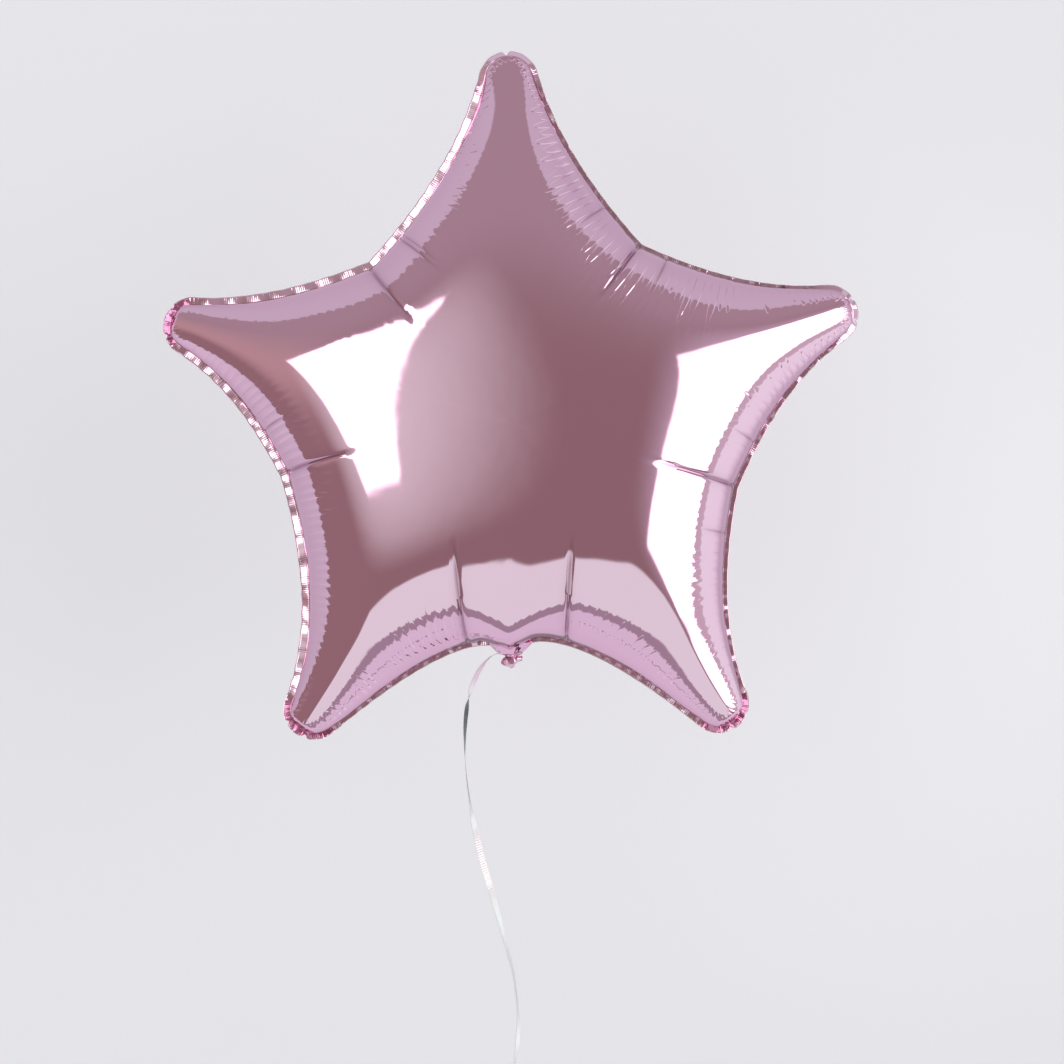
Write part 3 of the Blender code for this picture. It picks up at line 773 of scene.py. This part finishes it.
def add_film(name, side, surface, height, seed):
    """One inflated film, puckered along the seam and creased at the notches and the neck."""
    rows, inner, span = film_rows()
    apexes = HALF_COLUMNS + 2 * HALF_COLUMNS * np.arange(len(TIPS))
    spine = np.concatenate(([0], *[COLUMN[apex:apex + HALF_COLUMNS:4] for apex in apexes]))
    columns = np.concatenate([*(c for c, _, _ in rows), spine])
    flat = np.vstack([*(points for _, points, _ in rows), inner[spine]])
    depth = np.concatenate([*(d for _, _, d in rows), span[spine]])
    raised = height(height_places(flat, columns, depth, span))
    along_top = np.maximum((flat - np.array(TIPS[0])) @ unit(CENTRE - np.array(TIPS[0])) - SEAL_WIDTH, 0)
    raised *= 1 - TOP_FLATTER * (ARM[columns] == 0) * np.exp(-along_top / TOP_FLATTER_REACH)
    raised[:COLUMNS] = 0
    points = np.column_stack((flat[:, 0], side * (FILM_LEVEL + raised), flat[:, 1]))
    faces = film_faces(rows)
    if side == BACK:
        faces = [f[::-1] for f in faces]
    film = mesh_object(name, points, faces, surface)
    normal = np.zeros(len(points) * 3, np.float32)
    film.data.vertex_normals.foreach_get("vector", normal)
    normal = normal.reshape(-1, 3)
    around = AROUND[columns]
    vigour = np.clip(0.75 + 0.55 * slow_wave(AROUND, seed, 0.12), 0.25, 1.5)[columns]
    room = np.minimum(1, span[columns] / FULL_SPAN)
    panel = in_neck_panel()[columns]
    lively = by_place(FOLD_VIGOUR)[columns] * (1 - PANEL_CALM * panel)
    deep = depth / room / by_place(FOLD_REACHES)[columns] * (1 + 0.5 * panel)
    edges = fold_edges(seed + 1, *FOLD_WIDTHS)
    wide_edges = fold_edges(seed + 2, *WIDE_FOLD_WIDTHS)
    fine = folds(edges, around, deep, seed + 3, *FINE_FOLDS)
    faint = folds(edges, around, deep, seed + 4, *FAINT_FOLDS)
    coarse = folds(wide_edges, around, deep, seed + 5, *COARSE_FOLDS)
    puckers = ((fine + coarse) * vigour * np.minimum(lively, 1) + faint) * room * ease(depth / PUCKER_RISE)
    creases = CREASES if side == FRONT else CREASES[CREASES_FRONT_ONLY:]
    drawn = np.append(crease_depth(rows, creases), np.zeros(len(spine))) * ease(depth / CREASE_RISE)
    points = points + normal * (puckers - drawn)[:, None]
    points[:, 1] += SEAM_WAVE[columns] * (1 - ease(depth / SEAM_WAVE_FADE))
    film.data.vertices.foreach_set("co", points.astype(np.float32).ravel())
    film.data.update()
    run = np.interp(around, edges, np.arange(len(edges)))
    give_uv(film, np.column_stack((run, deep / FOLD_REACH)), len(edges) - 1)
    give_values(film, "vigour", lively)
    # Painted shade: the film darkens right at the seam, more in jagged teeth beside the neck, and inside the
    # creases.
    beside_neck = np.ones(COLUMNS)
    for start, end in (NECK_SHADE_FROM, NECK_SHADE_TO):
        beside_neck = beside_neck * ease((np.abs(FROM_NECK) - start) / (end - start))
    jagged = 0.5 + 0.9 * np.abs(slow_wave(AROUND, 51, 0.007, 9))
    reach = (SEAM_SHADE_REACH + NECK_SHADE_REACH * beside_neck * jagged)[columns]
    soft = SEAM_SHADE * np.exp(-depth / reach)
    hard = NECK_SHADE * ease((reach - depth) / (0.35 * reach))
    shaded = soft * (1 - beside_neck[columns]) + hard * beside_neck[columns]
    give_values(film, "painted_shade", np.maximum(np.clip(drawn / DEEP_CREASE, 0, 1) * PINCH_SHADE, shaded))
    return film


# ---- neck and tail


NECK_TOP, NECK_DROP = 0.0085, 0.0090
NECK_WIDE, NECK_WIDER, NECK_WIDE_BOW = 0.0054, 0.0096, 0.9  # half width at the tie, and how it grows upwards
NECK_DEEP, NECK_DEEPER, NECK_DEEP_BOW = 0.0042, 0.0110, 1.3  # the same for its front
NECK_REAR_DEEPER = 0.0006
NECK_CLOSING = ((0.0034, 0.04), (0.0030, 0.45), (0.0018, 0.80))  # (rise over the top, share of its width)
NECK_PLEATS = (9, 14, 23)  # folds round the neck, three sets over each other
PLEATS_ABOVE, PLEATS_GROW = 0.03, 0.17  # their depth at the top, and how much more of it at the tie
NECK_PINCH, NECK_PINCH_FROM = 0.6, 0.88  # how far it narrows inside the tie, and from where

BEAD_SIZE = np.array((0.0044, 0.0042, 0.0040))
BEAD_AT = np.array((-0.0010, 0.0, -0.0044))
BEAD_FACETS, BEAD_FACET_SPREAD, BEAD_EDGE = 34, (0.80, 1.04), radians(14)
BEAD_POINT_SHIFT, BEAD_POINT_NARROWS = 0.0024, 0.45

FLAP_LEFT, FLAP_FRONT, FLAP_FOOT = 0.0026, -0.0026, -0.0060
FLAP_WIDE, FLAP_TALL, FLAP_RISE = 0.0056, 0.0056, 0.0026
FLAP_CURL, FLAP_WAVE, FLAP_NARROWS, FLAP_FILM = 0.0008, 0.0004, 0.45, 0.00008


def add_neck(surface):
    """The film gathered into pleats above the tie, closed inside the balloon."""
    steps, rows = 180, 18
    angle = round_angles(steps)
    rng = np.random.default_rng(61)
    pleats = 0
    for folded in NECK_PLEATS:
        share, phase = rng.uniform(0.5, 1), rng.uniform(0, tau)
        pleats = pleats + share * np.abs(np.sin(folded * angle / 2 + phase))
    pleats = pleats / pleats.mean() - 1
    levels = [(lift, share, 0) for lift, share in NECK_CLOSING]
    levels += [(0, 1, t) for t in np.linspace(0, 1, rows)]
    points = []
    for lift, share, t in levels:
        wide = NECK_WIDE + NECK_WIDER * (1 - t) ** NECK_WIDE_BOW
        deep = np.where(np.sin(angle) < 0, NECK_DEEP + NECK_DEEPER * (1 - t) ** NECK_DEEP_BOW,
                        NECK_DEEP + NECK_REAR_DEEPER * (1 - t))
        pinch = NECK_PINCH * ease((t - NECK_PINCH_FROM) / (1 - NECK_PINCH_FROM))
        grown = share * (1 + (PLEATS_ABOVE + PLEATS_GROW * t) * pleats) * (1 - pinch)
        points.append(np.column_stack((wide * np.cos(angle) * grown, deep * np.sin(angle) * grown,
                                       np.full(steps, NECK_TOP - NECK_DROP * t + lift))))
    faces = [f[::-1] for f in loop_faces(len(levels), steps)]
    return mesh_object("neck_pleats", np.vstack(points), faces, surface)


def add_tail(surface):
    """The crumpled film below the tie: a small faceted bead with a short point."""
    rng = np.random.default_rng(8)
    steps, rows = 120, 70
    normals = unit(rng.normal(size=(BEAD_FACETS, 3)))
    apart = rng.uniform(*BEAD_FACET_SPREAD, BEAD_FACETS)
    angle = round_angles(steps)
    points = []
    for tilt in np.linspace(-pi / 2, pi / 2, rows):
        way = np.column_stack((cos(tilt) * np.cos(angle), cos(tilt) * np.sin(angle),
                               np.full(steps, sin(tilt))))
        facing = np.maximum(way @ normals.T, 1e-3)
        radius = np.minimum((apart / facing).min(axis=1), 1.2)
        points.append(way * radius[:, None])
    points = np.vstack(points)
    point_down = ease((-points[:, 2] - 0.55) / 0.5)
    points = points * BEAD_SIZE + BEAD_AT
    points[:, 0] += BEAD_POINT_SHIFT * point_down
    points[:, :2] *= (1 - BEAD_POINT_NARROWS * point_down)[:, None]
    bead = faces_out(mesh_object("tail_bead", points, loop_faces(rows, steps), surface))
    bead.data.set_sharp_from_angle(angle=BEAD_EDGE)
    return bead


def add_tail_flap(surface):
    """A small loose fold of film beside the bead."""
    steps, rows = 18, 14
    points = []
    for v in np.linspace(0, 1, rows):
        for u in np.linspace(0, 1, steps):
            points.append((FLAP_LEFT + FLAP_WIDE * u,
                           FLAP_FRONT - FLAP_CURL * sin(pi * v) + FLAP_WAVE * sin(1.6 * pi * u),
                           FLAP_FOOT + FLAP_TALL * v * (1 - FLAP_NARROWS * u) + FLAP_RISE * u))
    flap = mesh_object("tail_flap", points, loop_faces(rows, steps, wrap=False), surface)
    wall = flap.modifiers.new("film", "SOLIDIFY")
    wall.thickness = FLAP_FILM
    return flap


# ---- ribbon


def smooth_route(points, step):
    """Points about step apart along the smooth curve through the given ones."""
    given = np.array(points)
    given = np.vstack((2 * given[0] - given[1], given, 2 * given[-1] - given[-2]))
    t = (np.arange(24) / 24)[:, None]
    fine = [0.5 * (2 * b + (c - a) * t + (2 * a - 5 * b + 4 * c - d) * t**2 + (3 * b - a - 3 * c + d) * t**3)
            for a, b, c, d in zip(given, given[1:], given[2:], given[3:])]
    fine = np.vstack((*fine, given[-2]))
    return evenly(fine, step)


def evenly(points, step):
    gone = lengths_along(points)
    wanted = np.linspace(0, gone[-1], max(2, round(gone[-1] / step) + 1))
    return np.column_stack([np.interp(wanted, gone, points[:, k]) for k in range(3)])


def hank_turns():
    """The wound stretch: nested oval turns inwards, clockwise, drawn in at the waist."""
    middle = HANK_TOP - HANK_LOBE - HANK_STRAIGHT
    radius = HANK_LOBE - HANK_EDGE
    begin, half_turn = HANK_START, 0
    points = []
    while radius > 3 * TURN_SPACING:
        sign = -1 if half_turn % 2 else 1
        for a in np.linspace(begin, pi / 2, 40, endpoint=False):
            drawn = radius - TURN_SPACING / 2 * (a + pi / 2) / pi
            points.append((sign * drawn * sin(a), middle + sign * (HANK_STRAIGHT + drawn * cos(a))))
        radius -= TURN_SPACING / 2
        for rise in np.linspace(HANK_STRAIGHT, -HANK_STRAIGHT, 40, endpoint=False):
            pinch = 1 - HANK_PINCH * exp(-((rise / HANK_PINCH_REACH) ** 2))
            points.append((sign * radius * pinch, middle + sign * rise))
        begin = -pi / 2
        half_turn += 1
    return np.array([(HANK_X + x, KNOT[1], z) for x, z in points])


def ribbon_path():
    whole = np.vstack((smooth_route(ROUTE + HANK_ENTRY, 0.001), hank_turns()))
    whole = evenly(whole, RIBBON_STEP)
    return whole[lengths_along(whole) <= RIBBON_LENGTH]


def strip(name, path, across, half_width, thickness, surface, ribbed=True):
    """A flat closed strip along a path, whose width lies along the unit vectors across."""
    along = unit(np.gradient(path, axis=0))
    across = unit(across - (across * along).sum(axis=1)[:, None] * along)
    face = np.cross(along, across)
    gone = lengths_along(path)
    middle = path + face * (RIB_HEIGHT * np.sin(tau * gone / RIB_PITCH))[:, None] if ribbed else path
    half = half_width * np.ones(len(path)) if np.isscalar(half_width) else half_width
    ring = []
    for w, h in ((-1, 1), (0, 1), (1, 1), (1, -1), (0, -1), (-1, -1)):
        ring.append(middle + across * (w * half)[:, None] + face * h * thickness / 2)
    points = np.stack(ring, axis=1).reshape(-1, 3)
    made = faces_out(mesh_object(name, points, loop_faces(len(path), 6, capped=True), surface))
    made.data.set_sharp_from_angle(angle=radians(50))
    give_uv(made, np.column_stack((np.repeat(gone, 6), np.tile((0, 0.5, 1, 2, 2.5, 3), len(path)))))
    return made


def add_ribbon(surface):
    """The hanging ribbon and the hank it ends in, as one strip that turns as it falls."""
    path = ribbon_path()
    along = unit(np.gradient(path, axis=0))
    depthwise = unit(np.array((0.0, 1.0, 0.0)) - along[:, 1:2] * along)
    sideways = np.cross(depthwise, along)
    heights, turns = np.array(TWIST)[::-1].T
    turn = np.radians(np.interp(path[:, 2], heights, turns, left=90))
    spread = np.exp(-(np.linspace(-2.5, 2.5, 51) ** 2))
    turn = np.convolve(np.pad(turn, 25, mode="edge"), spread / spread.sum(), mode="valid")
    across = sideways * np.cos(turn)[:, None] + depthwise * np.sin(turn)[:, None]
    ribbon = strip("ribbon_strip", path, across, RIBBON_WIDTH / 2, RIBBON_THICKNESS, surface)
    return ribbon, path


def rope(name, path, wide, thick, normal_hint, surface, closed=False):
    """A bunched strand of oval section along a path."""
    steps = 14
    if closed:
        along = unit(np.roll(path, -1, axis=0) - np.roll(path, 1, axis=0))
    else:
        along = unit(np.gradient(path, axis=0))
    side = unit(np.cross(along, normal_hint))
    up = np.cross(side, along)
    gone = np.arange(len(path)) / len(path)
    angle = round_angles(steps)
    points = []
    for k in range(len(path)):
        crumple = 1 + 0.16 * np.sin(3 * angle + 40 * gone[k]) + 0.10 * np.sin(5 * angle - 71 * gone[k])
        points.append(path[k] + np.outer(thick * np.cos(angle) * crumple, side[k])
                      + np.outer(wide * np.sin(angle) * crumple, up[k]))
    faces = loop_faces(len(path), steps, joined=closed, capped=not closed)
    made = faces_out(mesh_object(name, np.vstack(points), faces, surface))
    give_uv(made, np.column_stack((np.repeat(gone * 0.02, steps), np.tile(angle / tau, len(path)))))
    return made


WRAP_TURNS, WRAP_RADIUS, WRAP_RISE = 2.0, 0.0031, (0.0007, -0.0004)
WRAP_WIDE, WRAP_THICK = 0.00070, 0.00045
KNOT_SPREAD, KNOT_WIDE, KNOT_THICK = (0.00050, 0.00085, 0.00050), 0.00075, 0.00055


def add_wrap(surface):
    """Turns of bunched ribbon drawn tight round the neck, whose first end runs back towards the knot."""
    a = np.linspace(-0.40 * pi, (WRAP_TURNS * 2 - 0.60) * pi, 220) + pi
    rise = np.linspace(*WRAP_RISE, len(a))
    ring = np.column_stack((WRAP_RADIUS * np.sin(a), -WRAP_RADIUS * np.cos(a), rise))
    lead = np.array((ring[0] * (0.45, 1.0, 1.0) + (0, 0.0021, 0),
                     ring[0] * (0.85, 1.0, 1.0) + (0, 0.0010, 0)))
    path = smooth_route(np.vstack((lead, ring[::8])), 0.00035)
    return rope("ribbon_turns", path, WRAP_WIDE, WRAP_THICK, np.array((0.0, 0.0, 1.0)), surface)


def add_knot(surface):
    """A small tight overhand knot of bunched ribbon."""
    t = round_angles(160)
    loop = np.column_stack((np.sin(t) + 2 * np.sin(2 * t), -np.sin(3 * t), np.cos(t) - 2 * np.cos(2 * t)))
    path = loop * KNOT_SPREAD + np.array(KNOT)
    hint = np.array((0.0, 1.0, 0.001))
    return rope("knot_strands", path, KNOT_WIDE, KNOT_THICK, hint, surface, closed=True)


SHORT_END = (
    (0.0030, -0.0050, -0.0006), (0.0044, -0.0054, 0.0000), (0.0060, -0.0060, 0.0004),
    (0.0074, -0.0064, 0.0009), (0.0080, -0.0068, 0.0016), (0.0072, -0.0071, 0.0022),
    (0.0058, -0.0073, 0.0023), (0.0044, -0.0072, 0.0018),
)
SHORT_END_ACROSS = (0.10, 1.0, 0.25)  # the way of its width
SHORT_END_HALF = (0.0006, 0.0010)  # half of its width, from the knot to its tip


def add_short_end(surface):
    """The ribbon's cut end, a small curl in front of the neck."""
    path = smooth_route(SHORT_END, 0.00015)
    across = np.tile(SHORT_END_ACROSS, (len(path), 1))
    half = np.linspace(*SHORT_END_HALF, len(path))
    return strip("ribbon_end_curl", path, across, half, RIBBON_THICKNESS, surface, ribbed=False)


# ---- stage


WALL_Y = 0.30
FLOOR_Z = -0.75
WALL_TONE = (0.40, 0.40, 0.413)
WALL_GLOW = (0.42, 0.42, 0.437)
WALL_PAINTED_POOL = (0.50, 0.50, 0.520)  # painted pool of light on the wall, round a place to the right of the balloon
PAINTED_POOL_AT = (0.30, WALL_Y, 0.06)
PAINTED_POOL_REACH = 0.42
STAGE_WIDE, STAGE_TALL = 4.0, 3.2
CAMERA_AT, CAMERA_LENS = (0.0144, -1.8, 0.0806), 93.0


def backdrop_material():
    """Matt pale paint that glows evenly, with a painted pool of light to the right of the balloon, and can
    be seen from its front only.
    """
    made, tree, shader, add, place = new_material("backdrop_paint")
    shader.inputs["Base Color"].default_value = (*WALL_TONE, 1.0)
    shader.inputs["Emission Strength"].default_value = 1.0
    shader.inputs["Roughness"].default_value = 0.9
    shader.inputs["Specular IOR Level"].default_value = 0.1
    # painted pool of light round a place to the right of the balloon
    apart = add("ShaderNodeVectorMath", operation="DISTANCE", Vector=place.outputs["Object"])
    apart.inputs[1].default_value = PAINTED_POOL_AT
    near = ramp(add, apart.outputs["Value"], (PAINTED_POOL_REACH, 0.0), kind="SMOOTHSTEP")
    finish_shader(tree, shader, Emission_Color=mixed(tree, near, WALL_GLOW, WALL_PAINTED_POOL))
    seen_through(tree, add("ShaderNodeNewGeometry").outputs["Backfacing"], shader.outputs["BSDF"],
                 add("ShaderNodeBsdfTransparent").outputs["BSDF"], "Material Output")
    return made


def seen_through(tree, factor, usual, other, output):
    """The tree's output is the usual shader, and the other one where the factor is 1."""
    mix = tree.nodes.new("ShaderNodeMixShader")
    for socket, value in zip(mix.inputs, (factor, usual, other)):
        tree.links.new(value, socket)
    tree.links.new(mix.outputs["Shader"], tree.nodes[output].inputs["Surface"])


def add_stage():
    """A floor and a wall that meet in one edge, and don't show in the foil's reflections."""
    paint = backdrop_material()
    wide, tall = STAGE_WIDE, STAGE_TALL
    joint = [(-wide, WALL_Y, FLOOR_Z), (wide, WALL_Y, FLOOR_Z)]
    top = [(wide, WALL_Y, tall), (-wide, WALL_Y, tall)]
    front = [(-wide, -wide, FLOOR_Z), (wide, -wide, FLOOR_Z)]
    wall = mesh_object("wall", joint + top, [(0, 1, 2, 3)], paint, smooth=False)
    floor = mesh_object("floor", front + joint[::-1], [(0, 1, 2, 3)], paint, smooth=False)
    for plain in (wall, floor):
        plain.visible_glossy = False


def toward(from_front, round_it):
    """A unit direction so many degrees from the front, turned so many degrees from +X towards +Z."""
    a, b = radians(from_front), radians(round_it)
    return np.array((sin(a) * cos(b), -cos(a), sin(a) * sin(b)))


EDGE = 0.014  # softness of the lights' edges
LIGHT_TONE, TABLE_TONE = (2.7, 2.7, 2.7), (0.93, 1.18, 1.06)
# Bright areas of the studio, as corners (degrees from the front, degrees round)
LEFT_LIGHT = ((56, 163), (48, 135), (33, 123), (20.7, 145), (17.8, 176), (19.8, -160), (35, -162))
RIGHT_LIGHT = ((33, 31.5), (67, 30), (80, 16), (80, -12), (72, -28), (60, -38), (35, -35.5))
TABLE_LIGHT = (
    (51, -128), (35, -114), (27, -97), (33, -52), (45, -45), (61, -41), (67, -50), (65, -90), (66, -122),
)
RIGHT, BACKWARDS, UP = (1, 0, 0), (0, 1, 0), (0, 0, 1)
# The tones of the room in front and of the wall behind, laid over each other: each comes in as the share
# of the direction that lies along the given one goes through the span
ROOM_TONE, WALL_REFLECTED = (0.32, 0.25, 0.235), (0.69, 0.76, 0.78)
ROOM_TONES = (
    (RIGHT, (0.10, -0.85), (0.35, 0.27, 0.25)),
    (toward(68, 160), (0.84, 0.98), (0.58, 0.49, 0.43)),
    (UP, (0.08, 0.80), (0.46, 0.43, 0.42)),
    (UP, (-0.66, -0.84), (0.43, 0.41, 0.445)),
    (RIGHT, (0.80, 0.92), (0.72, 0.75, 0.73)),
    (toward(56, 0), (0.79, 0.95), (0.66, 0.68, 0.70)),
    (toward(26, 170), (0.85, 1.012), (0.85, 0.98, 0.88)),
)
WALL_TONES = (
    (UP, (-0.10, -0.60), (0.85, 0.93, 0.97)),
    ((0.97, 0, -0.24), (0.58, 0.88), (1.02, 1.24, 1.18)),
    (BACKWARDS, (0.90, 0.96), (0.34, 0.32, 0.35)),
)
# How far back the wall's edge lies: in the middle, towards the sides, upwards, and beyond a place rightwards
WALL_EDGE, WALL_EDGE_BOW, WALL_EDGE_TILT, WALL_EDGE_RIGHT, WALL_EDGE_FROM = -0.20, 0.35, 0.05, 0.2, 0.4
WALL_EDGE_SPAN = (-0.02, 0.02)
SEEN_TONE = (0.80, 0.80, 0.83)


def add_world():
    """The studio all round: a pale wall behind, a dark room in front, two large lights and a pale table.

    The camera sees only plain pale grey, and the stage in front of it.
    """
    world = bpy.data.worlds.new("studio")
    bpy.context.scene.world = world
    world.use_nodes = True
    tree = world.node_tree
    add, math = adder(tree), calculator(tree)
    place = add("ShaderNodeTexCoord").outputs["Generated"]

    def along(vector):
        node = add("ShaderNodeVectorMath", operation="DOT_PRODUCT", Vector=place)
        node.inputs[1].default_value = vector
        return node.outputs["Value"]

    def step(value, span):
        return ramp(add, value, span, kind="SMOOTHSTEP")

    def inside(corners):
        ways = [toward(*corner) for corner in corners]
        middle = sum(ways)
        share = None
        for here, there in zip(ways, ways[1:] + ways[:1]):
            normal = unit(np.cross(here, there))
            normal = normal * np.sign(normal @ middle)
            part = step(along(normal), (-EDGE, EDGE))
            share = part if share is None else math("MULTIPLY", share, part)
        return share

    def toned(tone, tones):
        for way, span, other in tones:
            tone = mixed(tree, step(along(way), span), tone, other)
        return tone

    sideways, depthwise, upwards = along(RIGHT), along(BACKWARDS), along(UP)
    edge = math("MULTIPLY_ADD", math("MULTIPLY", sideways, sideways), WALL_EDGE_BOW, WALL_EDGE)
    edge = math("MULTIPLY_ADD", upwards, WALL_EDGE_TILT, edge)
    beyond = math("MAXIMUM", math("SUBTRACT", sideways, WALL_EDGE_FROM), 0.0)
    edge = math("SUBTRACT", edge, math("MULTIPLY", beyond, WALL_EDGE_RIGHT))
    color = mixed(tree, step(math("SUBTRACT", depthwise, edge), WALL_EDGE_SPAN),
                  toned(ROOM_TONE, ROOM_TONES), toned(WALL_REFLECTED, WALL_TONES))
    for corners, tone in ((TABLE_LIGHT, TABLE_TONE), (LEFT_LIGHT, LIGHT_TONE), (RIGHT_LIGHT, LIGHT_TONE)):
        color = mixed(tree, inside(corners), color, tone)
    lit = tree.nodes["Background"]
    tree.links.new(color, lit.inputs["Color"])
    seen = add("ShaderNodeBackground", Color=(*SEEN_TONE, 1.0))
    seen_through(tree, add("ShaderNodeLightPath").outputs["Is Camera Ray"], lit.outputs["Background"],
                 seen.outputs["Background"], "World Output")


def add_camera():
    data = bpy.data.cameras.new("camera")
    data.sensor_width = 36.0
    data.lens = CAMERA_LENS
    camera = bpy.data.objects.new("camera", data)
    camera.location = CAMERA_AT
    camera.rotation_euler = (pi / 2, 0, 0)
    bpy.context.scene.collection.objects.link(camera)
    bpy.context.scene.camera = camera


# ---- the balloon


def put(obj, body, slot, *nodes):
    """obj moves with a body and stands for the named CAD nodes. slot is not used."""
    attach(obj, body)
    if nodes:
        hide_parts(*nodes)
    return obj


def dress(node, surface):
    """A CAD node that stays in sight gets its finished material."""
    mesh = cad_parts[node].data
    mesh.materials.clear()
    mesh.materials.append(surface)


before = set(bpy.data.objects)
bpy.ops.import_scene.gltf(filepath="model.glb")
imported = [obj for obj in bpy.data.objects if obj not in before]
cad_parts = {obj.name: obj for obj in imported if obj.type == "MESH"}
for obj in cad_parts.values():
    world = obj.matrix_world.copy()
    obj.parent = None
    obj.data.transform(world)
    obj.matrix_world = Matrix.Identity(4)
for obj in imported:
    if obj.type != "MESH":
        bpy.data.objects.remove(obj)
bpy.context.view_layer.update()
add_camera()

foil = foil_material("pink_foil", FOIL_TINT, roughness=0.045, crimped=False)
seal_foil = foil_material("sealed_foil", SEAL_TINT, roughness=0.07, crimped=True)
silver = ribbon_material()

height_over = dome_height(SEAM)
put(add_film("front_film", FRONT, foil, height_over, 100), "balloon", "foil", "front_panel")
put(add_film("back_film", BACK, foil, height_over, 200), "balloon", "foil", "back_panel")
put(add_seal(seal_foil), "balloon", "foil")
put(add_neck(foil), "balloon", "foil")
put(add_tail(foil), "balloon", "foil")
put(add_tail_flap(foil), "balloon", "foil")
put(add_wrap(silver), "balloon", "ribbon", "ribbon_wrap")
put(add_short_end(silver), "balloon", "ribbon", "ribbon_short_end")
put(add_knot(silver), "knot", "ribbon", "ribbon_knot")
hanging, route = add_ribbon(silver)
put(hanging, "ribbon", "ribbon", "ribbon", "ribbon_hank")
dress("hank_tie", plain_film_material("tie_film", TIE_TINT, roughness=0.30))
for node in ("valve_front_film", "valve_back_film"):
    dress(node, plain_film_material(node, VALVE_TINT, roughness=0.35))
[tuple(p) for p in route[::4]]

add_stage()
add_world()
bpy.context.scene.view_settings.view_transform = "Standard"
